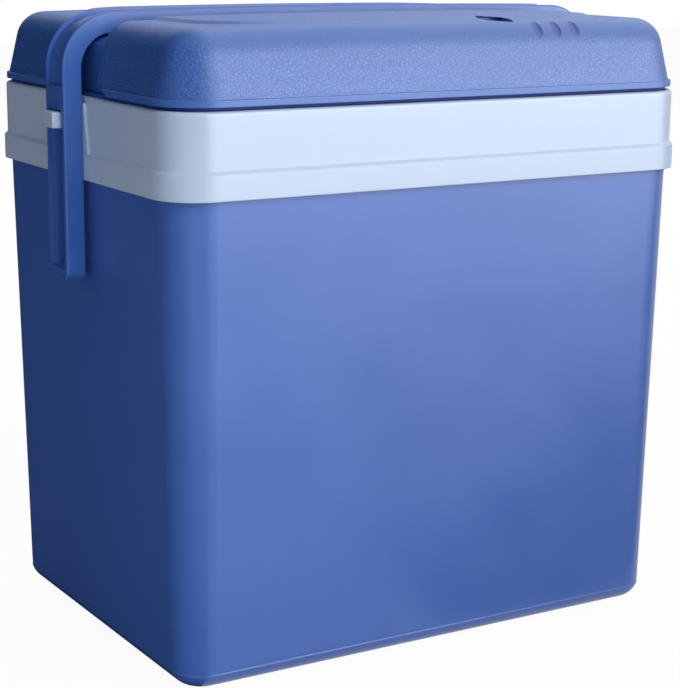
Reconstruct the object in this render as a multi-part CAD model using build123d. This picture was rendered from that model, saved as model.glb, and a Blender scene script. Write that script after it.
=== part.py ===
from build123d import *
from math import atan2, degrees
import os

# Insulated carrier with ice packs and a sliding bail handle that locks its lid.
# Millimetres. The origin is the centre of the base, +X runs along the long side to the
# right, the front faces -Y and +Z is up.

# --- overall ---------------------------------------------------------------------------
collar_half_x = 186.6
collar_half_y = 138.1
collar_corner = 26.0
tub_height = 299.8
collar_height = 50.9
lid_gap = 2.4  # dark line between the collar and the lid's lip
lid_height = 45.1
fit_gap = 0.2

# --- outer tub -------------------------------------------------------------------------
collar_step = 1.9  # the collar stands this far out from the top of the tub's sides
side_flare = 6.1  # how much each side leans out between the base and the collar
base_corner = 20.0
base_edge_radius = 13.0
foot_height = 10.6
foot_proud = 0.5  # the foot stands this far out from the sides
body_wall = 2.4

# --- collar ----------------------------------------------------------------------------
collar_wall = 2.2
collar_top_wall = 3.1
collar_edge_radius = 2.2
band_height = 15.2
band_proud = 2.1
band_bevel = 2.0
pad_proud = 1.8
pad_top_half = 15.5
pad_foot_half = 23.0
pad_top_drop = 4.0

# --- liner and insulation --------------------------------------------------------------
insulation_thickness = 20.5
floor_insulation = 22.0
liner_wall = 1.8
liner_flange = 2.2
liner_draft = 5.6
liner_corner = 21.0
liner_floor_radius = 9.0

# --- lid -------------------------------------------------------------------------------
lid_draft = 13.0
lid_overrun = 10.0  # the drafted sides run this far past the top before it is cut
lid_crown_radius = 8000.0
lid_edge_radius = 19.0
lid_corner_spare = 0.4  # the upright corners' radius at the top, over the edge's
lid_wall = 2.4
lip_height = 4.0
lip_proud = 0.7
panel_inset_x = 44.6
panel_inset_y = 32.1
panel_corner = 40.0
panel_rise = 1.6
panel_sink = 6.0  # how far its sloped sides run down into the shoulder
panel_side_run = 2.0  # how far they run out for each millimetre down
panel_overrun = 3.0
panel_edge_radius = 1.5
recess_half_y = 29.0
recess_floor_gap = 2.2
recess_side_depth = 6.0
notch_height = 7.0
notch_top_half = 33.0
notch_foot_half = 52.0
front_slot_length = 20.0
front_slot_height = 2.4
front_slot_roof = 0.8  # lid left over it at the panel's edge
front_slot_reach = 15.0  # forward of the panel's edge, through the rounded edge
front_slot_depth = 4.0  # behind the panel's edge, into the foam
front_slot_tilt = 4.0
front_slot_x = 47.0
dimple_first_x = 71.2
dimple_pitch = 14.4
dimple_count = 3
dimple_width = 9.5
dimple_length = 18.9
dimple_depth = 1.6
dimple_angle = 45.0  # above the horizontal, seen from the rounded edge's centre
plug_depth = 26.0
plug_clearance = 2.2
plug_wall = 1.8
plug_flange = 2.0
seal_width = 8.0
seal_rest_gap = 0.3

# --- handle and pegs -------------------------------------------------------------------
handle_width = 28.2
handle_thickness = 12.1
handle_side_gap = 0.3  # arm to slide pad
handle_rise = 2.8  # crossbar over the lid's raised panel
handle_foot_margin = 8.3  # below the slot
handle_bend_radius = 34.0
handle_crown_radius = 9800.0
handle_edge_radius = 1.4
handle_foot_radius = 5.0
channel_rim = 2.6  # left on each side of the channel
channel_depth = 2.2
channel_corner = 3.5
channel_foot_margin = 1.5  # below the slot
channel_bridge_drop = 8.2  # below the collar's top
channel_bridge_height = 14.3
handle_travel = 85.0
peg_drop = 14.4  # below the collar's top
peg_diameter = 9.8
peg_spigot_diameter = 6.0
peg_head_width = 16.3
peg_head_height = 10.0
peg_head_thickness = 7.0
peg_head_radius = 1.2
slide_clearance = 0.4

# --- contents --------------------------------------------------------------------------
ice_pack_thickness = 34.0
ice_pack_height = 190.0
ice_pack_radius = 7.0
ice_pack_gap = 8.0
ice_pack_wall_gap = 1.5
ice_pack_side_room = 30.1  # from the end of a side row to the liner's end wall
ice_pack_end_room = 10.1  # from an end pack to the side rows
ice_pack_panel_inset = 14.0
ice_pack_panel_depth = 1.6
ice_pack_dimple_diameter = 20.0
ice_pack_dimple_depth = 8.0
neck_diameter = 19.0
neck_height = 9.0
neck_inset = 26.0  # from the pack's edge
cap_diameter = 26.0
cap_height = 11.0
cap_top_wall = 2.0
cap_flutes = 18
cap_flute_diameter = 2.4
cap_clearance = 0.3

# --- derived levels --------------------------------------------------------------------
shoulder_z = tub_height
collar_bottom_z = tub_height + fit_gap
collar_top_z = collar_bottom_z + collar_height
lid_bottom_z = collar_top_z + lid_gap
lid_shoulder_z = lid_bottom_z + lid_height
panel_top_z = lid_shoulder_z + panel_rise
handle_top_z = panel_top_z + handle_rise
peg_z = collar_top_z - peg_drop
channel_bridge_z = collar_top_z - channel_bridge_drop
slot_width = peg_diameter + 2 * slide_clearance
round_end_share = 0.499  # of a slot's width, so its ends are all but half circles
slot_top_z = peg_z + slot_width / 2 + slide_clearance
slot_foot_z = peg_z - handle_travel - slot_width / 2 - slide_clearance
handle_foot_z = slot_foot_z - handle_foot_margin
channel_foot_z = slot_foot_z - channel_foot_margin

# --- derived widths --------------------------------------------------------------------
base_half_x = collar_half_x - collar_step - side_flare
base_half_y = collar_half_y - collar_step - side_flare
neck_half_x = collar_half_x - collar_wall - fit_gap
neck_half_y = collar_half_y - collar_wall - fit_gap
neck_corner = collar_corner - collar_wall
flange_top_z = collar_top_z - collar_top_wall - fit_gap / 2
flange_bottom_z = flange_top_z - liner_flange
rim_z = flange_bottom_z - fit_gap / 2
wall_stack = body_wall + insulation_thickness + liner_wall
mouth_half_x = neck_half_x - wall_stack + fit_gap
mouth_half_y = neck_half_y - wall_stack + fit_gap
base_outline = (base_half_x, base_half_y, base_corner)
neck_outline = (neck_half_x, neck_half_y, neck_corner)
mouth_outline = (mouth_half_x, mouth_half_y, liner_corner)
collar_outline = (collar_half_x, collar_half_y, collar_corner)
lid_top_lean = lid_draft * lid_height / (lid_height + lid_overrun)
lid_corner = lid_edge_radius + lid_corner_spare + lid_top_lean
lid_outline = (collar_half_x, collar_half_y, lid_corner)
panel_outline = (collar_half_x - panel_inset_x, collar_half_y - panel_inset_y, panel_corner)
floor_z = body_wall + floor_insulation + liner_wall
arm_inner_x = collar_half_x + pad_proud + handle_side_gap
arm_outer_x = arm_inner_x + handle_thickness
channel_floor_x = arm_outer_x - channel_depth
channel_width = handle_width - 2 * channel_rim


def drafted(outline, low_z, high_z, lean=0.0):
    """A block with rounded upright corners whose sides lean in by lean at its top.

    outline is (half length, half width, corner radius) at low_z. With a negative lean
    the sides flare outwards."""
    half_x, half_y, corner = outline
    face = Pos(0, 0, low_z) * RectangleRounded(2 * half_x, 2 * half_y, corner)
    height = high_z - low_z
    return extrude(face, height, taper=degrees(atan2(lean, height)))


def moved_in(outline, inset):
    """An outline with every side moved in by inset, and its corners with them."""
    return tuple(size - inset for size in outline)


def below_crown(top_z, crown_radius, reach):
    """Everything under a wide cylinder that runs along Y and crests over X = 0."""
    barrel = Rot(90, 0, 0) * Cylinder(crown_radius, 4 * reach)
    return Pos(0, 0, top_z - crown_radius) * barrel


def bottom_edges(solid):
    return solid.edges().group_by(Axis.Z)[0]


def top_edges(solid):
    return solid.edges().group_by(Axis.Z)[-1]


def tub_form(inset, bottom_z, top_z):
    """The tub's outline moved in by inset: flared sides, then the straight neck."""
    flare = side_flare * (shoulder_z - bottom_z) / shoulder_z
    foot = moved_in(base_outline, inset - side_flare + flare)
    sides = drafted(foot, bottom_z, shoulder_z, -flare)
    sides = fillet(bottom_edges(sides), base_edge_radius - inset)
    neck = moved_in(neck_outline, inset)
    return sides + drafted(neck, shoulder_z - body_wall, top_z)


def tub_foot():
    """The band round the tub's foot, a little proud, with a bevelled upper edge."""
    foot = split(tub_form(-foot_proud, 0, rim_z), Plane.XY.offset(foot_height), keep=Keep.BOTTOM)
    return chamfer(top_edges(foot), foot_proud * 0.9)


def make_outer_body():
    return tub_form(0, 0, rim_z) + tub_foot() - tub_form(body_wall, body_wall, rim_z + 1)


def liner_form(grow, bottom_z, top_z):
    """The storage hollow, or with grow the outside of the liner round it."""
    depth = top_z - bottom_z
    lean = liner_draft * depth / (flange_top_z - floor_z)
    foot = moved_in(mouth_outline, lean - grow)
    hollow = drafted(foot, bottom_z, top_z, -lean)
    return fillet(bottom_edges(hollow), liner_floor_radius + grow)


def make_inner_liner():
    outside = liner_form(liner_wall, floor_z - liner_wall, flange_top_z)
    flange = drafted(neck_outline, flange_bottom_z, flange_top_z)
    return outside + flange - liner_form(0, floor_z, flange_top_z)


def make_body_insulation():
    foam_top = flange_bottom_z - fit_gap
    foam = tub_form(body_wall + fit_gap, body_wall + fit_gap, foam_top)
    seat_z = floor_z - liner_wall - fit_gap
    return foam - liner_form(liner_wall + fit_gap, seat_z, flange_top_z)


def slide_pad():
    """Raised pad behind the right arm, wider towards its foot."""
    pad_top = collar_top_z - pad_top_drop
    outline = Polyline(
        (-pad_foot_half, collar_bottom_z),
        (pad_foot_half, collar_bottom_z),
        (pad_top_half, pad_top),
        (-pad_top_half, pad_top),
        close=True,
    )
    inner_x = collar_half_x - collar_wall / 2
    face = Plane.YZ.offset(inner_x) * make_face(outline)
    return extrude(face, collar_half_x + pad_proud - inner_x)


def make_collar():
    ring = drafted(collar_outline, collar_bottom_z, collar_top_z)
    ring = fillet(top_edges(ring), collar_edge_radius)
    proud = moved_in(collar_outline, -band_proud)
    band_top = collar_bottom_z + band_height
    ring += drafted(proud, collar_bottom_z, band_top)
    ring += drafted(proud, band_top, band_top + band_bevel, band_proud)
    for turn in (0, 180):
        ring += Rot(0, 0, turn) * slide_pad()
    hollow = moved_in(neck_outline, -fit_gap)
    ring -= drafted(hollow, collar_bottom_z - 1, flange_top_z + fit_gap / 2)
    mouth = moved_in(mouth_outline, -fit_gap)
    ring -= drafted(mouth, flange_bottom_z, collar_top_z + 1)
    arm_gap = handle_width + 3 * handle_side_gap
    band_cut = Box(4 * band_proud, arm_gap, 4 * band_height)
    cut_x = collar_half_x + pad_proud + 2 * band_proud
    spigot_hole = Rot(0, 90, 0) * Cylinder(peg_spigot_diameter / 2 + fit_gap / 2, 12)
    for side in (-1, 1):
        ring -= Pos(side * cut_x, 0, collar_bottom_z) * band_cut
        ring -= Pos(side * collar_half_x, 0, peg_z) * spigot_hole
    return ring


def make_handle_peg():
    """Right peg: spigot in the collar, round shank through the slot, and a T head that
    runs in the arm's channel."""
    seat_x = collar_half_x + pad_proud
    head_x = channel_floor_x + handle_side_gap
    spigot_length = pad_proud + collar_wall - fit_gap
    spigot = Cylinder(
        peg_spigot_diameter / 2, spigot_length, align=(Align.CENTER, Align.CENTER, Align.MAX)
    )
    shank = Cylinder(
        peg_diameter / 2, head_x - seat_x, align=(Align.CENTER, Align.CENTER, Align.MIN)
    )
    axis = Pos(seat_x, 0, peg_z) * Rot(0, 90, 0)
    head = Box(
        peg_head_thickness,
        peg_head_width,
        peg_head_height,
        align=(Align.MIN, Align.CENTER, Align.CENTER),
    )
    head = fillet(head.edges(), peg_head_radius)
    return axis * (spigot + shank) + Pos(head_x, 0, peg_z) * head


def arch(inset, foot_z, width):
    """A crowned arch across the whole carrier, as a solid slab: the handle's outer
    outline with inset 0, and what lies under it with larger insets."""
    half = arm_outer_x - inset
    top = handle_top_z - inset
    slab = Pos(0, 0, foot_z) * Box(
        2 * half, width, 2 * (top - foot_z), align=(Align.CENTER, Align.CENTER, Align.CENTER)
    )
    slab &= below_crown(top, handle_crown_radius, width)
    keep = Pos(0, 0, foot_z) * Box(
        2 * half, width, top - foot_z, align=(Align.CENTER, Align.CENTER, Align.MIN)
    )
    slab &= keep
    corners = slab.edges().filter_by(Axis.Y).sort_by(Axis.Z)[-2:]
    return fillet(corners, handle_bend_radius - inset)


def upright_cut(width, corner, low_z, high_z, inner_x):
    """A cut in the right arm from inner_x outwards, with rounded ends."""
    outline = RectangleRounded(width, high_z - low_z, corner)
    face = Plane.YZ.offset(inner_x) * (Pos(0, (low_z + high_z) / 2) * outline)
    return extrude(face, 2 * handle_thickness)


def outer_rim(slab):
    """The edges round a slab's outline, without the seams between its tangent faces."""
    rim = []
    for edge in slab.edges():
        size = edge.bounding_box().size
        at_foot = abs(edge.center().Z - handle_foot_z) < 0.01
        runs_along_x = max(size.Y, size.Z) < 0.01
        runs_along_y = max(size.X, size.Z) < 0.01
        if not runs_along_x and (at_foot or not runs_along_y):
            rim.append(edge)
    return rim


def make_handle():
    outer = arch(0, handle_foot_z, handle_width)
    foot_edges = bottom_edges(outer).filter_by(Axis.X)
    outer = fillet(foot_edges, handle_foot_radius)
    outer = fillet(outer_rim(outer), handle_edge_radius)
    bail = outer - arch(handle_thickness, handle_foot_z - 1, handle_width + 2)
    # Shallow channel over the crossbar and both bends.
    groove_foot = channel_bridge_z + channel_bridge_height
    groove = arch(-1, groove_foot, channel_width)
    bail -= groove - arch(channel_depth, groove_foot - 1, handle_width)
    # Channel and through slot of each arm, below the bridge.
    channel = upright_cut(
        channel_width, channel_corner, channel_foot_z, channel_bridge_z, channel_floor_x
    )
    slot = upright_cut(
        slot_width, slot_width * round_end_share, slot_foot_z, slot_top_z, arm_inner_x - 1
    )
    for turn in (0, 180):
        bail -= Rot(0, 0, turn) * (channel + slot)
    return bail


def lid_cutter(grow):
    """What the lid leaves open for the handle: a recess over its top and down both
    ends, and a notch over each arm at the lip."""
    core_inset = handle_thickness + recess_floor_gap + grow
    tall = Box(
        2 * arm_outer_x + 40,
        2 * (recess_half_y + grow),
        2 * (handle_top_z - lid_bottom_z + 40),
    )
    core = arch(core_inset, lid_bottom_z - 60, 2 * recess_half_y + 40)
    narrow_half = collar_half_x - recess_side_depth - grow
    core &= Box(2 * narrow_half, 4 * collar_half_y, 4 * handle_top_z)
    opening = Pos(0, 0, lid_bottom_z) * tall - core
    notch_top = lid_bottom_z + notch_height + grow
    outline = Polyline(
        (-notch_foot_half - grow, lid_bottom_z - 2),
        (notch_foot_half + grow, lid_bottom_z - 2),
        (notch_top_half + grow, notch_top),
        (-notch_top_half - grow, notch_top),
        close=True,
    )
    notch_x = collar_half_x - recess_side_depth - grow
    notch = extrude(Plane.YZ.offset(notch_x) * make_face(outline), 30)
    return opening + notch + Rot(0, 0, 180) * notch


def lid_form(inset, bottom_z=lid_bottom_z):
    """The lid's outside, or with inset the hollow inside it, down to bottom_z."""
    block = drafted(
        moved_in(lid_outline, inset), lid_bottom_z, lid_shoulder_z + lid_overrun, lid_draft
    )
    block &= below_crown(lid_shoulder_z - inset, lid_crown_radius, collar_half_y)
    top = [e for e in block.edges() if e.center().Z > lid_bottom_z + lid_height / 2]
    top = [e for e in top if e.bounding_box().size.Z < lid_height / 3]
    block = fillet(top, lid_edge_radius - inset)
    foot = moved_in(panel_outline, inset - panel_sink * panel_side_run)
    foot_z = panel_top_z - panel_sink - inset
    rise = panel_sink + panel_overrun
    panel = drafted(foot, foot_z, foot_z + rise, rise * panel_side_run)
    panel &= below_crown(panel_top_z - inset, handle_crown_radius, collar_half_y)
    if inset == 0:
        rim = [e for e in panel.edges() if e.center().Z > panel_top_z - panel_sink / 2]
        rim = [e for e in rim if e.bounding_box().size.Z < panel_sink / 2]
        panel = fillet(rim, panel_edge_radius)
    form = block + panel - lid_cutter(inset)
    if bottom_z > lid_bottom_z:
        form = split(form, Plane.XY.offset(bottom_z), keep=Keep.TOP)
    return form


def lid_lip():
    """A thin bead round the lid's lower edge, which stops at the notches."""
    top_z = lid_bottom_z + lip_height
    bead = drafted(moved_in(lid_outline, -lip_proud), lid_bottom_z, top_z)
    bead = fillet(top_edges(bead), lip_proud * 0.9)
    inner = moved_in(lid_outline, lid_wall / 2)
    return bead - drafted(inner, lid_bottom_z - 1, top_z + 1) - lid_cutter(0)


def finger_dimple(x):
    """A round-ended groove sunk in the front rounded edge, square to that edge."""
    centre_z = lid_shoulder_z - x**2 / (2 * lid_crown_radius) - lid_edge_radius
    side_y = collar_half_y - lid_draft * (centre_z - lid_bottom_z) / (lid_height + lid_overrun)
    radius = dimple_width / 2
    straight = dimple_length - dimple_width
    capsule = Cylinder(radius, straight)
    capsule += Pos(0, 0, straight / 2) * Sphere(radius)
    capsule += Pos(0, 0, -straight / 2) * Sphere(radius)
    reach = lid_edge_radius - dimple_depth + radius
    centre = Pos(x, -(side_y - lid_edge_radius), centre_z)
    return centre * Rot(-dimple_angle, 0, 0) * Pos(0, -reach, 0) * capsule


def front_slot(grow):
    """The small slot in the lid's front edge, or with grow the room round it."""
    reach = front_slot_reach + front_slot_depth + grow
    slot = Box(front_slot_length + 2 * grow, reach, front_slot_height + 2 * grow)
    slot = fillet(slot.edges().filter_by(Axis.Y), front_slot_height / 3)
    slot_y = front_slot_depth + grow - reach / 2 - panel_outline[1]
    slot_z = panel_top_z - front_slot_roof - front_slot_height / 2
    return Pos(front_slot_x, slot_y, slot_z) * Rot(0, front_slot_tilt, 0) * slot


def make_lid_shell():
    shell = lid_form(0) - lid_form(lid_wall) + lid_lip() - front_slot(0)
    for index in range(dimple_count):
        shell -= finger_dimple(dimple_first_x + index * dimple_pitch)
    return shell


def plug_form(inset, bottom_z, top_z):
    """The plug that enters the liner's mouth, drafted like the liner."""
    lean = liner_draft * (top_z - bottom_z) / (flange_top_z - floor_z)
    foot = moved_in(mouth_outline, plug_clearance + inset + lean)
    return drafted(foot, bottom_z, top_z, -lean)


def make_lid_inner_panel():
    plate_bottom = lid_bottom_z + fit_gap
    plate_top = plate_bottom + plug_flange
    plug_bottom = collar_top_z - plug_depth
    plate = lid_form(lid_wall + fit_gap, plate_bottom)
    plate = split(plate, Plane.XY.offset(plate_top), keep=Keep.BOTTOM)
    plug = plug_form(0, plug_bottom, plate_top)
    plug = fillet(bottom_edges(plug), plug_wall * 2)
    hollow = plug_form(plug_wall, plug_bottom + plug_wall, plate_top + 1)
    return plate + plug - hollow


def make_lid_insulation():
    plate_top = lid_bottom_z + fit_gap + plug_flange
    upper = lid_form(lid_wall + fit_gap, plate_top + fit_gap)
    plug_bottom = collar_top_z - plug_depth + plug_wall + fit_gap
    lower = plug_form(plug_wall + fit_gap, plug_bottom, plate_top + 2)
    return upper + lower - front_slot(fit_gap)


def make_lid_seal():
    bottom = collar_top_z + seal_rest_gap
    top = lid_bottom_z + fit_gap
    ring = drafted(moved_in(mouth_outline, plug_clearance - seal_width), bottom, top)
    return ring - drafted(moved_in(mouth_outline, plug_clearance - fit_gap), bottom, top)


def make_ice_pack(width):
    """An upright bottle, its foot at the origin, with its neck at one end of the top."""
    body_height = ice_pack_height - cap_height
    block = Box(
        width,
        ice_pack_thickness,
        body_height,
        align=(Align.CENTER, Align.CENTER, Align.MIN),
    )
    block = fillet(block.edges(), ice_pack_radius)
    panel_width = width - 2 * ice_pack_panel_inset
    panel_height = body_height - 2 * ice_pack_panel_inset
    panel = extrude(RectangleRounded(panel_width, panel_height, ice_pack_radius), 10)
    for side in (0, 180):
        face = Pos(0, 0, body_height / 2) * Rot(90, 0, side)
        block -= face * Pos(0, 0, ice_pack_thickness / 2 - ice_pack_panel_depth) * panel
        for x in (-panel_width / 4, panel_width / 4):
            pinch = Cone(
                ice_pack_dimple_diameter / 3,
                ice_pack_dimple_diameter / 2,
                ice_pack_dimple_depth,
                align=(Align.CENTER, Align.CENTER, Align.MAX),
            )
            block -= face * Pos(x, 0, ice_pack_thickness / 2) * pinch
    neck = Cylinder(
        neck_diameter / 2, neck_height + 2, align=(Align.CENTER, Align.CENTER, Align.MIN)
    )
    return block + Pos(width / 2 - neck_inset, 0, body_height - 2) * neck


def make_ice_pack_cap(width):
    """The fluted screw cap of a pack of that width, in the same place."""
    body_height = ice_pack_height - cap_height
    cap = Cylinder(
        cap_diameter / 2, cap_height, align=(Align.CENTER, Align.CENTER, Align.MIN)
    )
    cap = fillet(top_edges(cap), 1)
    bore = Cylinder(
        neck_diameter / 2 + cap_clearance,
        cap_height - cap_top_wall,
        align=(Align.CENTER, Align.CENTER, Align.MIN),
    )
    flute = Cylinder(
        cap_flute_diameter / 2, 2 * cap_height, align=(Align.CENTER, Align.CENTER, Align.CENTER)
    )
    cap -= bore
    cap -= PolarLocations(cap_diameter / 2, cap_flutes) * flute
    return Pos(width / 2 - neck_inset, 0, body_height + cap_clearance) * cap


def ice_packs():
    """Name, width and place of each pack: two along each long wall, one at each end."""
    stand_z = floor_z + fit_gap
    wall_room = liner_draft + ice_pack_wall_gap + ice_pack_thickness / 2
    wall_y = mouth_half_y - wall_room
    end_x = mouth_half_x - wall_room
    row_half = mouth_half_x - liner_draft - ice_pack_side_room
    side_width = row_half - ice_pack_gap / 2
    side_x = row_half - side_width / 2
    end_width = 2 * (wall_y - ice_pack_thickness / 2 - ice_pack_end_room)
    return {
        "front_left": (side_width, Pos(-side_x, -wall_y, stand_z) * Rot(0, 0, 180)),
        "front_right": (side_width, Pos(side_x, -wall_y, stand_z)),
        "rear_left": (side_width, Pos(-side_x, wall_y, stand_z) * Rot(0, 0, 180)),
        "rear_right": (side_width, Pos(side_x, wall_y, stand_z)),
        "left": (end_width, Pos(-end_x, 0, stand_z) * Rot(0, 0, 90)),
        "right": (end_width, Pos(end_x, 0, stand_z) * Rot(0, 0, -90)),
    }


def write(name, solid):
    export_step(solid, f"parts/{name}.step")


def main():
    os.makedirs("parts", exist_ok=True)
    write("outer_body", make_outer_body())
    write("inner_liner", make_inner_liner())
    write("body_insulation", make_body_insulation())
    write("collar", make_collar())
    peg = make_handle_peg()
    write("handle_peg_right", peg)
    write("handle_peg_left", Rot(0, 0, 180) * peg)
    write("handle", make_handle())
    write("lid_shell", make_lid_shell())
    write("lid_inner_panel", make_lid_inner_panel())
    write("lid_insulation", make_lid_insulation())
    write("lid_seal", make_lid_seal())
    for place, (width, location) in ice_packs().items():
        write(f"ice_pack_{place}", location * make_ice_pack(width))
        write(f"ice_pack_cap_{place}", location * make_ice_pack_cap(width))


main()
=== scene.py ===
import math

import bpy
from mathutils import Matrix, Vector


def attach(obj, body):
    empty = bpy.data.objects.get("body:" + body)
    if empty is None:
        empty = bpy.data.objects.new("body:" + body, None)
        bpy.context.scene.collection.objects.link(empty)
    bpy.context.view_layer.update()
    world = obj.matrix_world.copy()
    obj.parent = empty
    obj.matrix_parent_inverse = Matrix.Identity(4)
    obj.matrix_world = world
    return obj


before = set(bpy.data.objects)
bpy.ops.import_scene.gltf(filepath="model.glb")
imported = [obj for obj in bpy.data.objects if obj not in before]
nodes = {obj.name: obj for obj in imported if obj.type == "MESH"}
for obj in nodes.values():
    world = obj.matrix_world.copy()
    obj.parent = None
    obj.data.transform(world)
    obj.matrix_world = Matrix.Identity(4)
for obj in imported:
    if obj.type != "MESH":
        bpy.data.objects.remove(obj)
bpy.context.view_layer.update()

mm = 0.001  # the scene is in metres

print("Frame loaded:", len(nodes), "nodes")


def toLinear(hexColour):
    # sRGB hex to the linear RGBA that the shader sockets take
    values = [int(hexColour[i:i + 2], 16) / 255 for i in (1, 3, 5)]
    linear = [v / 12.92 if v <= 0.04045 else ((v + 0.055) / 1.055) ** 2.4 for v in values]
    return (*linear, 1.0)


def addNode(tree, kind, settings=None, links=None):
    # settings go to a socket by name or number, or else to a property of the node
    node = tree.nodes.new(kind)
    for name, value in (settings or {}).items():
        if isinstance(name, int) or name in node.inputs:
            node.inputs[name].default_value = value
        else:
            setattr(node, name, value)
    for name, source in (links or {}).items():
        tree.links.new(source, node.inputs[name])
    return node


def newMaterial(name):
    material = bpy.data.materials.new(name)
    material.use_nodes = True
    tree = material.node_tree
    tree.nodes.clear()
    return material, tree


def closeMaterial(tree, shader):
    addNode(tree, "ShaderNodeOutputMaterial", links={"Surface": shader})


def dress(material, *names):
    # CAD nodes keep their mesh and take the finish on their own material slots
    for name in names:
        for materialSlot in nodes[name].material_slots:
            materialSlot.material = material


# metres, degrees and, for the lens and sensor, millimetres
cameraSetup = {
    "place": (-0.64549, -1.07955, 0.45173),
    "yaw": 31.076,
    "pitch": 12.469,
    "roll": 0.478,
    "lens": 98.11,
    "sensor": 36.0,
}


def makeCamera():
    yaw = math.radians(cameraSetup["yaw"])
    pitch = math.radians(cameraSetup["pitch"])
    roll = math.radians(cameraSetup["roll"])
    back = Vector((-math.sin(yaw) * math.cos(pitch), -math.cos(yaw) * math.cos(pitch),
                   math.sin(pitch)))
    level = Vector((math.cos(yaw), -math.sin(yaw), 0))
    upright = back.cross(level)
    right = math.cos(roll) * level + math.sin(roll) * upright
    up = -math.sin(roll) * level + math.cos(roll) * upright
    turn = Matrix((right, up, back)).transposed().to_4x4()
    data = bpy.data.cameras.new("camera")
    data.sensor_fit = "VERTICAL"
    data.sensor_height = cameraSetup["sensor"]
    data.lens = cameraSetup["lens"]
    camera = bpy.data.objects.new("camera", data)
    camera.matrix_world = Matrix.Translation(cameraSetup["place"]) @ turn
    bpy.context.scene.collection.objects.link(camera)
    bpy.context.scene.camera = camera


makeCamera()
print("Camera set")


# White floor and world, softboxes that light the plastic, and cards that only its
# reflections see. Places and sizes are in metres, angles in degrees, powers in watts.
studio = {
    "backdropColour": "#FFFFFF",
    "fillColour": "#CFD3E0",
    "fillStrength": 0.38,
    "floorSize": 12.0,
    "floorColour": "#FFFFFF",
    "floorBounceColour": "#C0C0C0",
    "floorGlow": 0.95,  # share of the floor's white that shadows leave alone
    "lightColour": "#FFFFFF",
    "softboxes": {
        "key": {"aim": (-0.05, -0.10, 0.28), "azimuth": 7.0, "elevation": 36.0,
                "distance": 3.6, "size": 1.9, "power": 76.0},
        "low left": {"aim": (-0.19, -0.13, 0.10), "azimuth": -36.0, "elevation": 4.0,
                     "distance": 0.50, "size": 0.3, "power": 0.62},
        "rear": {"aim": (0.05, 0.05, 0.25), "azimuth": 132.0, "elevation": 32.0,
                 "distance": 3.6, "size": 1.9, "power": 68.0},
    },
    "cloths": {
        "black velvet": {"colour": "#0A0B0E"},
        "lit diffuser cloth": {"colour": "#FFFFFF", "glow": 10.0},
        "dimly lit diffuser cloth": {"colour": "#FFFFFF", "glow": 2.6},
        "veiled diffuser cloth": {"colour": "#FFFFFF", "glow": 1.6},
        "grey card": {"colour": "#9AA3B5", "glow": 1.0},
    },
    "cards": {
        # keeps the lid's top from mirroring the strong front diffuser
        "diffuserBand": {"cloth": "veiled diffuser cloth", "corners": (
            (-0.7, -0.28, 0.457), (1.3, -0.28, 0.457), (1.3, -0.28, 0.68), (-0.7, -0.28, 0.68))},
        "greyBackWall": {"cloth": "grey card", "corners": (
            (0.0, 1.4, 0.0), (3.4, 1.4, 0.0), (3.4, 1.4, 0.80), (0.0, 1.4, 0.80))},
        # these two keep the left side deep blue
        "velvetSideFloor": {"cloth": "black velvet", "corners": (
            (-0.17, -0.60, 0.0015), (-0.16, 0.36, 0.0015), (-2.4, 0.36, 0.0015),
            (-2.4, -0.60, 0.0015))},
        "velvetSideWall": {"cloth": "black velvet", "corners": (
            (-0.16, 0.36, 0.0), (-2.4, 0.36, 0.0), (-2.4, 0.36, 1.6), (-0.16, 0.36, 1.6))},
        # and these two deepen the front towards its lower right corner
        "velvetFrontFloor": {"cloth": "black velvet", "corners": (
            (0.02, -0.15, 0.0015), (0.05, -0.28, 0.0015), (1.0, -0.28, 0.0015),
            (1.0, -0.14, 0.0015))},
        "velvetFrontWall": {"cloth": "black velvet", "corners": (
            (0.05, -0.28, 0.0), (1.0, -0.28, 0.0), (1.0, -0.28, 0.60), (0.06, -0.28, 0.003))},
        "diffuserFrontRight": {"cloth": "lit diffuser cloth", "corners": (
            (0.35, -3.30, 0.0), (2.9, -1.3, 0.0), (2.9, -1.3, 1.8), (0.35, -3.30, 1.8))},
        "diffuserOverhead": {"cloth": "dimly lit diffuser cloth", "corners": (
            (-0.2, -2.9, 1.8), (2.9, -1.3, 1.8), (2.9, 1.8, 2.3), (0.3, 1.8, 2.3))},
    },
}


def seenDirectly(tree):
    # 1 for camera, mirror and see-through rays, 0 for light that falls on the object
    path = addNode(tree, "ShaderNodeLightPath")
    either = addNode(tree, "ShaderNodeMath", {"operation": "MAXIMUM"}, {
        0: path.outputs["Is Camera Ray"], 1: path.outputs["Is Glossy Ray"]})
    return addNode(tree, "ShaderNodeMath", {"operation": "MAXIMUM"}, {
        0: either.outputs[0], 1: path.outputs["Is Transmission Ray"]}).outputs[0]


def makeWorld():
    world = bpy.data.worlds.new("studio")
    world.use_nodes = True
    tree = world.node_tree
    tree.nodes.clear()
    white = addNode(tree, "ShaderNodeBackground", {
        "Color": toLinear(studio["backdropColour"]), "Strength": 1.0})
    fill = addNode(tree, "ShaderNodeBackground", {
        "Color": toLinear(studio["fillColour"]), "Strength": studio["fillStrength"]})
    mixed = addNode(tree, "ShaderNodeMixShader", links={
        0: seenDirectly(tree), 1: fill.outputs[0], 2: white.outputs[0]})
    addNode(tree, "ShaderNodeOutputWorld", links={"Surface": mixed.outputs[0]})
    bpy.context.scene.world = world


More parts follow.
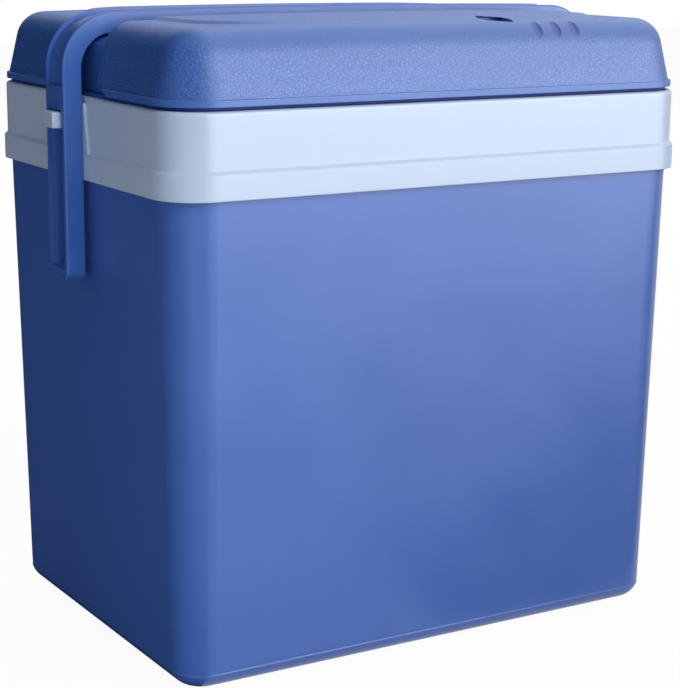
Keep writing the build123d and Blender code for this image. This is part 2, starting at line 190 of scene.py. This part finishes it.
def makeFloor():
    # painted board: white to the eye, greyer for the light it throws back
    half = studio["floorSize"] / 2
    mesh = bpy.data.meshes.new("floor")
    corners = [(-half, -half, 0), (half, -half, 0), (half, half, 0), (-half, half, 0)]
    mesh.from_pydata(corners, [], [(0, 1, 2, 3)])
    floor = bpy.data.objects.new("floor", mesh)
    bpy.context.scene.collection.objects.link(floor)
    material, tree = newMaterial("matt white painted board")
    painted = addNode(tree, "ShaderNodeBsdfDiffuse", {"Color": toLinear(studio["floorColour"])})
    glow = addNode(tree, "ShaderNodeEmission", {
        "Color": toLinear(studio["backdropColour"]), "Strength": 1.0})
    shown = addNode(tree, "ShaderNodeMixShader", {0: studio["floorGlow"]}, {
        1: painted.outputs[0], 2: glow.outputs[0]})
    bounce = addNode(tree, "ShaderNodeBsdfDiffuse", {
        "Color": toLinear(studio["floorBounceColour"])})
    both = addNode(tree, "ShaderNodeMixShader", links={
        0: seenDirectly(tree), 1: bounce.outputs[0], 2: shown.outputs[0]})
    closeMaterial(tree, both.outputs[0])
    mesh.materials.append(material)


def makeCard(name, corners, material):
    # studio card that only the plastic's reflections see
    mesh = bpy.data.meshes.new(name)
    mesh.from_pydata(corners, [], [(0, 1, 2, 3)])
    mesh.materials.append(material)
    card = bpy.data.objects.new(name, mesh)
    bpy.context.scene.collection.objects.link(card)
    card.visible_camera = False
    card.visible_diffuse = False
    card.visible_transmission = False
    card.visible_volume_scatter = False
    card.visible_shadow = False


def makeCloth(name, cloth):
    # a cloth with a glow is lit from behind, and velvet is not
    material, tree = newMaterial(name)
    colour = toLinear(cloth["colour"])
    if "glow" in cloth:
        shader = addNode(tree, "ShaderNodeEmission", {"Color": colour, "Strength": cloth["glow"]})
    else:
        shader = addNode(tree, "ShaderNodeBsdfDiffuse", {"Color": colour})
    closeMaterial(tree, shader.outputs[0])
    return material


def makeCards():
    cloths = {name: makeCloth(name, cloth) for name, cloth in studio["cloths"].items()}
    for name, card in studio["cards"].items():
        makeCard(name, card["corners"], cloths[card["cloth"]])


def aimAt(thing, place, target):
    thing.location = place
    thing.rotation_euler = (Vector(target) - Vector(place)).to_track_quat("-Z", "Y").to_euler()


def makeSoftbox(name, box):
    azimuth = math.radians(box["azimuth"])
    elevation = math.radians(box["elevation"])
    level = math.cos(elevation)
    toLight = Vector((math.sin(azimuth) * level, -math.cos(azimuth) * level, math.sin(elevation)))
    data = bpy.data.lights.new(name + " softbox", "AREA")
    data.shape = "SQUARE"
    data.size = box["size"]
    data.energy = box["power"]
    data.color = toLinear(studio["lightColour"])[:3]
    softbox = bpy.data.objects.new(name + " softbox", data)
    bpy.context.scene.collection.objects.link(softbox)
    aimAt(softbox, Vector(box["aim"]) + toLight * box["distance"], box["aim"])
    softbox.visible_camera = False
    softbox.visible_glossy = False  # the diffuser cards are what the plastic mirrors


makeWorld()
makeFloor()
makeCards()
for boxName, box in studio["softboxes"].items():
    makeSoftbox(boxName, box)
bpy.context.scene.view_settings.view_transform = "Standard"
print("Studio lit")


def surfacePlace(tree):
    return addNode(tree, "ShaderNodeTexCoord").outputs["Object"]


def mouldedPlastic(name, finish):
    # Moulded polypropylene or polyethylene: a soft sheen over a fine spark-eroded grain, with
    # faint flow clouds in its colour and a gloss that changes a little with the same clouds.
    material, tree = newMaterial(name)
    place = surfacePlace(tree)
    cloud = addNode(tree, "ShaderNodeTexNoise", {
        "Scale": 1 / (finish["cloudSize"] * mm), "Detail": 3.0, "Roughness": 0.55}, {
        "Vector": place})
    tone = addNode(tree, "ShaderNodeMix", {
        "data_type": "RGBA", 6: toLinear(finish["colour"]), 7: toLinear(finish["cloudColour"])}, {
        0: cloud.outputs["Fac"]})
    gloss = addNode(tree, "ShaderNodeMapRange", {  # the noise mostly lies from 0.3 to 0.7
        "From Min": 0.3, "From Max": 0.7,
        "To Min": finish["roughness"] - finish["roughnessSpread"],
        "To Max": finish["roughness"] + finish["roughnessSpread"]}, {"Value": cloud.outputs["Fac"]})
    grain = addNode(tree, "ShaderNodeTexNoise", {
        "Scale": 1 / (finish["grainSize"] * mm), "Detail": 2.0, "Roughness": 0.6}, {
        "Vector": place})
    softEdge = addNode(tree, "ShaderNodeBevel", {"samples": 4, "Radius": finish["edgeRadius"] * mm})
    relief = addNode(tree, "ShaderNodeBump", {
        "Strength": finish["grainStrength"], "Distance": finish["grainDepth"] * mm}, {
        "Height": grain.outputs["Fac"], "Normal": softEdge.outputs[0]})
    shader = addNode(tree, "ShaderNodeBsdfPrincipled", {"IOR": finish["ior"]}, {
        "Base Color": tone.outputs[2], "Roughness": gloss.outputs[0], "Normal": relief.outputs[0]})
    closeMaterial(tree, shader.outputs[0])
    return material


# sizes, depths and radii in millimetres; a spark-eroded grain is typically about 0.1 mm
# across and is drawn coarser here, so that it shows
tubFinish = {
    "colour": "#3B62B0", "cloudColour": "#4168B6", "cloudSize": 60.0,
    "roughness": 0.35, "roughnessSpread": 0.03, "ior": 1.49,
    "grainSize": 1.0, "grainDepth": 0.04, "grainStrength": 0.4,
    "edgeRadius": 1.2,
}
collarFinish = {
    "colour": "#B3C6DF", "cloudColour": "#BACCE4", "cloudSize": 80.0,
    "roughness": 0.38, "roughnessSpread": 0.04, "ior": 1.49,
    "grainSize": 1.0, "grainDepth": 0.03, "grainStrength": 0.4,
    "edgeRadius": 1.0,
}
handleFinish = {
    "colour": "#3862B0", "cloudColour": "#3E68B6", "cloudSize": 25.0,
    "roughness": 0.36, "roughnessSpread": 0.05, "ior": 1.49,
    "grainSize": 0.8, "grainDepth": 0.02, "grainStrength": 0.4,
    "edgeRadius": 0.6,
}
linerFinish = {
    "colour": "#E6EAEE", "cloudColour": "#EEF1F3", "cloudSize": 70.0,
    "roughness": 0.33, "roughnessSpread": 0.04, "ior": 1.49,
    "grainSize": 1.2, "grainDepth": 0.02, "grainStrength": 0.3,
    "edgeRadius": 0.8,
}
packFinish = {
    "colour": "#C6D8E8", "cloudColour": "#D6E4EF", "cloudSize": 18.0,
    "roughness": 0.42, "roughnessSpread": 0.06, "ior": 1.54,
    "grainSize": 1.0, "grainDepth": 0.04, "grainStrength": 0.4,
    "edgeRadius": 1.0,
}
capFinish = {
    "colour": "#3F66B4", "cloudColour": "#4A71BD", "cloudSize": 12.0,
    "roughness": 0.35, "roughnessSpread": 0.04, "ior": 1.49,
    "grainSize": 0.6, "grainDepth": 0.02, "grainStrength": 0.4,
    "edgeRadius": 0.5,
}

dress(mouldedPlastic("moulded polypropylene tub", tubFinish), "outer_body")
dress(mouldedPlastic("pale moulded polypropylene", collarFinish),
      "collar", "handle_peg_left", "handle_peg_right")
handlePlastic = mouldedPlastic("smooth moulded polypropylene handle", handleFinish)
dress(handlePlastic, "handle")
dress(mouldedPlastic("white polypropylene liner", linerFinish), "inner_liner", "lid_inner_panel")
packNodes = [name for name in nodes if name.startswith("ice_pack_")]
capNodes = [name for name in packNodes if name.startswith("ice_pack_cap_")]
dress(mouldedPlastic("blow moulded polyethylene", packFinish),
      *[name for name in packNodes if name not in capNodes])
dress(mouldedPlastic("ribbed polypropylene cap", capFinish), *capNodes)


lidFinish = {
    # the crease colour is painted shade in the grain's creases
    "colour": "#305FA8", "creaseShadeColour": "#234C94", "cloudColour": "#3563AD", "cloudSize": 60.0,
    "roughness": 0.44, "roughnessSpread": 0.05, "ior": 1.49,
    "cellSize": 1.9,  # leather pebbles about 2 mm across
    "cellStretch": 0.35, "stretchSpan": 3.0,  # in cells
    "creaseWidth": 0.30, "grainDepth": 0.12, "grainStrength": 0.6,
    "fadeFrom": 385.0, "fadeTo": 393.0, "smoothShare": 0.12,  # heights where the grain fades out
    "lipTop": 357.6,
    "dimplePlace": (71.2, -126.4, 392.5), "dimplePitch": 14.4, "dimpleCount": 3,
    "dimpleWidth": 8.4, "dimpleLength": 17.5, "dimpleSoftness": 0.35,
    # the dimple colour is painted shade in the finger dimples
    "dimpleShadeColour": "#264A94", "dimpleRoughness": 0.42,
}


def leatherGrainPlastic(name, finish):
    # Polypropylene from an acid-etched mould: small leather pebbles with soft creases on the
    # sides, polished nearly smooth over the top, so each pebble catches its own highlight. Painted
    # shade darkens the creases and the finger dimples, which are also a little glossier.
    material, tree = newMaterial(name)
    place = surfacePlace(tree)
    cloud = addNode(tree, "ShaderNodeTexNoise", {
        "Scale": 1 / (finish["cloudSize"] * mm), "Detail": 3.0, "Roughness": 0.55}, {
        "Vector": place})
    wander = addNode(tree, "ShaderNodeTexNoise", {
        "Scale": 1 / (finish["stretchSpan"] * finish["cellSize"] * mm), "Detail": 2.0}, {
        "Vector": place})
    shifted = addNode(tree, "ShaderNodeVectorMath", {
        "operation": "MULTIPLY_ADD", 1: (finish["cellStretch"] * finish["cellSize"] * mm,) * 3}, {
        0: wander.outputs["Color"], 2: place})
    pebbles = addNode(tree, "ShaderNodeTexVoronoi", {
        "feature": "DISTANCE_TO_EDGE", "Scale": 1 / (finish["cellSize"] * mm)}, {
        "Vector": shifted.outputs[0]})
    crown = addNode(tree, "ShaderNodeMapRange", {
        "interpolation_type": "SMOOTHSTEP", "From Max": finish["creaseWidth"]}, {
        "Value": pebbles.outputs["Distance"]})
    spot = addNode(tree, "ShaderNodeSeparateXYZ", links={0: place})
    grained = addNode(tree, "ShaderNodeMapRange", {
        "From Min": finish["fadeFrom"] * mm, "From Max": finish["fadeTo"] * mm,
        "To Min": 1.0, "To Max": finish["smoothShare"]}, {"Value": spot.outputs["Z"]})
    aboveLip = addNode(tree, "ShaderNodeMath", {
        "operation": "GREATER_THAN", 1: finish["lipTop"] * mm}, {0: spot.outputs["Z"]})
    grained = addNode(tree, "ShaderNodeMath", {"operation": "MULTIPLY"}, {
        0: grained.outputs[0], 1: aboveLip.outputs[0]})
    relief = addNode(tree, "ShaderNodeMath", {"operation": "MULTIPLY"}, {
        0: crown.outputs[0], 1: grained.outputs[0]})
    bump = addNode(tree, "ShaderNodeBump", {
        "Strength": finish["grainStrength"], "Distance": finish["grainDepth"] * mm}, {
        "Height": relief.outputs[0]})
    dimpleShadeAndGloss = dimpleMask(tree, spot, finish)
    base = addNode(tree, "ShaderNodeMix", {
        "data_type": "RGBA", 6: toLinear(finish["colour"]), 7: toLinear(finish["cloudColour"])}, {
        0: cloud.outputs["Fac"]})
    # painted shade: the grain's creases are darkened towards the crease colour
    creaseShade = addNode(tree, "ShaderNodeMath", {"operation": "SUBTRACT", "use_clamp": True}, {
        0: grained.outputs[0], 1: crown.outputs[0]})
    tone = addNode(tree, "ShaderNodeMix", {
        "data_type": "RGBA", 7: toLinear(finish["creaseShadeColour"])}, {
        0: creaseShade.outputs[0], 6: base.outputs[2]})
    # painted shade: the finger dimples are darkened towards the dimple colour
    dimpleShaded = addNode(tree, "ShaderNodeMix", {
        "data_type": "RGBA", 7: toLinear(finish["dimpleShadeColour"])}, {
        0: dimpleShadeAndGloss, 6: tone.outputs[2]})
    gloss = addNode(tree, "ShaderNodeMapRange", {
        "To Min": finish["roughness"] + finish["roughnessSpread"],
        "To Max": finish["roughness"] - finish["roughnessSpread"]}, {"Value": crown.outputs[0]})
    rubbed = addNode(tree, "ShaderNodeMix", {3: finish["dimpleRoughness"]}, {
        0: dimpleShadeAndGloss, 2: gloss.outputs[0]})
    shader = addNode(tree, "ShaderNodeBsdfPrincipled", {"IOR": finish["ior"]}, {
        "Base Color": dimpleShaded.outputs[2], "Roughness": rubbed.outputs[0], "Normal": bump.outputs[0]})
    closeMaterial(tree, shader.outputs[0])
    return material


def dimpleMask(tree, spot, finish):
    # 1 in each of the row of oval dimples, which lie across the front rounded edge at 45
    # degrees, and 0 outside them; it places the dimples' painted shade and their lower roughness
    x, y, z = finish["dimplePlace"]
    pitch, count = finish["dimplePitch"], finish["dimpleCount"]
    last = x + (count - 1) * pitch
    nearest = addNode(tree, "ShaderNodeMath", {"operation": "SUBTRACT", 1: x * mm}, {
        0: spot.outputs["X"]})
    nearest = addNode(tree, "ShaderNodeMath", {1: pitch / 2 * mm}, {0: nearest.outputs[0]})
    nearest = addNode(tree, "ShaderNodeMath", {"operation": "SNAP", 1: pitch * mm}, {
        0: nearest.outputs[0]})
    nearest = addNode(tree, "ShaderNodeClamp", {"Max": (last - x) * mm}, {0: nearest.outputs[0]})
    centre = addNode(tree, "ShaderNodeMath", {1: x * mm}, {0: nearest.outputs[0]})
    across = addNode(tree, "ShaderNodeMath", {"operation": "SUBTRACT"}, {
        0: spot.outputs["X"], 1: centre.outputs[0]})
    across = addNode(tree, "ShaderNodeMath", {
        "operation": "DIVIDE", 1: finish["dimpleWidth"] / 2 * mm}, {0: across.outputs[0]})
    along = addNode(tree, "ShaderNodeMath", links={0: spot.outputs["Y"], 1: spot.outputs["Z"]})
    along = addNode(tree, "ShaderNodeMath", {"operation": "SUBTRACT", 1: (y + z) * mm}, {
        0: along.outputs[0]})
    along = addNode(tree, "ShaderNodeMath", {
        "operation": "DIVIDE", 1: finish["dimpleLength"] / math.sqrt(2) * mm}, {
        0: along.outputs[0]})
    front = addNode(tree, "ShaderNodeMath", {"operation": "LESS_THAN", 1: 0.0}, {
        0: spot.outputs["Y"]})
    oval = addNode(tree, "ShaderNodeCombineXYZ", links={
        0: across.outputs[0], 1: along.outputs[0]})
    radius = addNode(tree, "ShaderNodeVectorMath", {"operation": "LENGTH"}, {0: oval.outputs[0]})
    inside = addNode(tree, "ShaderNodeMapRange", {
        "interpolation_type": "SMOOTHSTEP", "From Min": 1.0,
        "From Max": 1.0 - finish["dimpleSoftness"]}, {"Value": radius.outputs["Value"]})
    return addNode(tree, "ShaderNodeMath", {"operation": "MULTIPLY"}, {
        0: inside.outputs[0], 1: front.outputs[0]}).outputs[0]


dress(leatherGrainPlastic("leather grained polypropylene", lidFinish), "lid_shell")


foamFinish = {
    "colour": "#E9E3CB", "edgeColour": "#D8D0B2", "beadSize": 4.0,
    "roughness": 0.85, "ior": 1.5, "jointWidth": 0.12, "beadDepth": 0.4, "beadStrength": 0.6,
}


def beadFoam(name, finish):
    # Rigid foam: matt packed beads with fine dark joints between them.
    material, tree = newMaterial(name)
    place = surfacePlace(tree)
    beads = addNode(tree, "ShaderNodeTexVoronoi", {
        "feature": "DISTANCE_TO_EDGE", "Scale": 1 / (finish["beadSize"] * mm)}, {"Vector": place})
    crown = addNode(tree, "ShaderNodeMapRange", {
        "interpolation_type": "SMOOTHSTEP", "From Max": finish["jointWidth"]}, {
        "Value": beads.outputs["Distance"]})
    tone = addNode(tree, "ShaderNodeMix", {
        "data_type": "RGBA", 6: toLinear(finish["edgeColour"]), 7: toLinear(finish["colour"])}, {
        0: crown.outputs[0]})
    bump = addNode(tree, "ShaderNodeBump", {
        "Strength": finish["beadStrength"], "Distance": finish["beadDepth"] * mm}, {
        "Height": crown.outputs[0]})
    shader = addNode(tree, "ShaderNodeBsdfPrincipled", {
        "Roughness": finish["roughness"], "IOR": finish["ior"]}, {
        "Base Color": tone.outputs[2], "Normal": bump.outputs[0]})
    closeMaterial(tree, shader.outputs[0])
    return material


# the rubber's dark deep blue is also painted shade for the gap between the lid and the collar
sealAndGapShadeFinish = {
    "colour": "#0A2A88", "dustColour": "#103292", "dustSize": 6.0,
    "roughness": 0.85, "ior": 1.5, "dustDepth": 0.05, "dustStrength": 0.4,
}


def softRubber(name, finish):
    # Thermoplastic rubber: deep blue and matt, with a dusty bloom. Its blue is kept this dark as
    # painted shade for the gap under the lid.
    material, tree = newMaterial(name)
    dust = addNode(tree, "ShaderNodeTexNoise", {
        "Scale": 1 / (finish["dustSize"] * mm), "Detail": 4.0}, {"Vector": surfacePlace(tree)})
    tone = addNode(tree, "ShaderNodeMix", {
        "data_type": "RGBA", 6: toLinear(finish["colour"]), 7: toLinear(finish["dustColour"])}, {
        0: dust.outputs["Fac"]})
    bump = addNode(tree, "ShaderNodeBump", {
        "Strength": finish["dustStrength"], "Distance": finish["dustDepth"] * mm}, {
        "Height": dust.outputs["Fac"]})
    shader = addNode(tree, "ShaderNodeBsdfPrincipled", {
        "Roughness": finish["roughness"], "IOR": finish["ior"]}, {
        "Base Color": tone.outputs[2], "Normal": bump.outputs[0]})
    closeMaterial(tree, shader.outputs[0])
    return material


dress(beadFoam("rigid bead foam", foamFinish), "body_insulation", "lid_insulation")
sealAndGapShadeRubber = softRubber("thermoplastic rubber", sealAndGapShadeFinish)
dress(sealAndGapShadeRubber, "lid_seal")
print("Finishes assigned")


# the slot in the lid's front edge, in millimetres
slotPocket = {
    "middleX": 47.0, "length": 19.4, "tilt": 4.0,
    "mouthY": -107.0, "backY": -105.3, "floorZ": 396.95, "roofZ": 398.95,
    "cornerShare": 0.6,  # of the height, taken by the rounded inner corner
    "steps": 6, "wall": 0.35,
}


def makeSlotPocket(material):
    # moulded lining that rounds off the slot's inner end, so it reads as blue plastic
    pocket = slotPocket
    depth = pocket["backY"] - pocket["mouthY"]
    rise = pocket["roofZ"] - pocket["floorZ"]
    radius = rise * pocket["cornerShare"]
    profile = [(0.0, 0.0)]
    for step in range(pocket["steps"] + 1):
        turn = math.pi / 2 * step / pocket["steps"]
        profile.append((depth - radius * (1 - math.sin(turn)), radius * (1 - math.cos(turn))))
    profile.append((depth, rise))
    half = pocket["length"] / 2
    vertices = []
    faces = []
    for x in (-half, half):
        vertices += [(x, y, z) for y, z in profile]
    count = len(profile)
    for index in range(count - 1):
        faces.append((index, index + 1, count + index + 1, count + index))
    mesh = bpy.data.meshes.new("lid_slot_pocket")
    mesh.from_pydata(vertices, [], faces)
    mesh.transform(Matrix.Translation((pocket["middleX"], pocket["mouthY"], pocket["floorZ"]))
                   @ Matrix.Rotation(math.radians(pocket["tilt"]), 4, "Y"))
    mesh.transform(Matrix.Scale(mm, 4))
    mesh.shade_smooth()
    mesh.materials.append(material)
    piece = bpy.data.objects.new("lid_slot_pocket", mesh)
    bpy.context.scene.collection.objects.link(piece)
    skin = piece.modifiers.new("wall", "SOLIDIFY")
    skin.thickness = pocket["wall"] * mm
    skin.offset = 0.0
    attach(piece, "lid")


makeSlotPocket(handlePlastic)
print("Slot pocket made")


# the drip edge under the lid's lip, in millimetres
dripEdge = {
    "halfX": 184.2, "halfY": 135.7, "corner": 27.7, "cornerSteps": 16,
    "topZ": 353.4, "bottomZ": 351.3, "thickness": 1.4,
    "rounding": 0.4, "roundingCut": 0.3,  # the corner's middle, as a share of its rounding
}


def makeDripEdge(material):
    # thin ring of the dark blue rubber set in the gap between the lid and the collar, as painted
    # shade that makes the gap a dark navy line
    edge = dripEdge
    loop = []
    for signX, signY, start in ((1, 1, 0), (-1, 1, 90), (-1, -1, 180), (1, -1, 270)):
        for step in range(edge["cornerSteps"] + 1):
            turn = math.radians(start + 90 * step / edge["cornerSteps"])
            loop.append((signX * (edge["halfX"] - edge["corner"]),
                         signY * (edge["halfY"] - edge["corner"]), math.cos(turn), math.sin(turn)))
    # outer face down to a rounded foot, then up the inner face
    inset, bottom = edge["rounding"], edge["bottomZ"]
    cut = inset * edge["roundingCut"]
    profile = [(0.0, edge["topZ"]), (0.0, bottom + inset), (cut, bottom + cut), (inset, bottom),
               (edge["thickness"] - inset, bottom), (edge["thickness"], bottom + inset),
               (edge["thickness"], edge["topZ"])]
    vertices = []
    for middleX, middleY, c, s in loop:
        for inward, z in profile:
            radius = edge["corner"] - inward
            vertices.append(((middleX + c * radius) * mm, (middleY + s * radius) * mm, z * mm))
    faces = []
    rows, count = len(loop), len(profile)
    for row in range(rows):
        after = (row + 1) % rows
        for index in range(count):
            following = (index + 1) % count
            faces.append((row * count + index, after * count + index,
                          after * count + following, row * count + following))
    mesh = bpy.data.meshes.new("lid_drip_edge")
    mesh.from_pydata(vertices, [], faces)
    mesh.materials.append(material)
    piece = bpy.data.objects.new("lid_drip_edge", mesh)
    bpy.context.scene.collection.objects.link(piece)
    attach(piece, "lid")


makeDripEdge(sealAndGapShadeRubber)
print("Drip edge made")
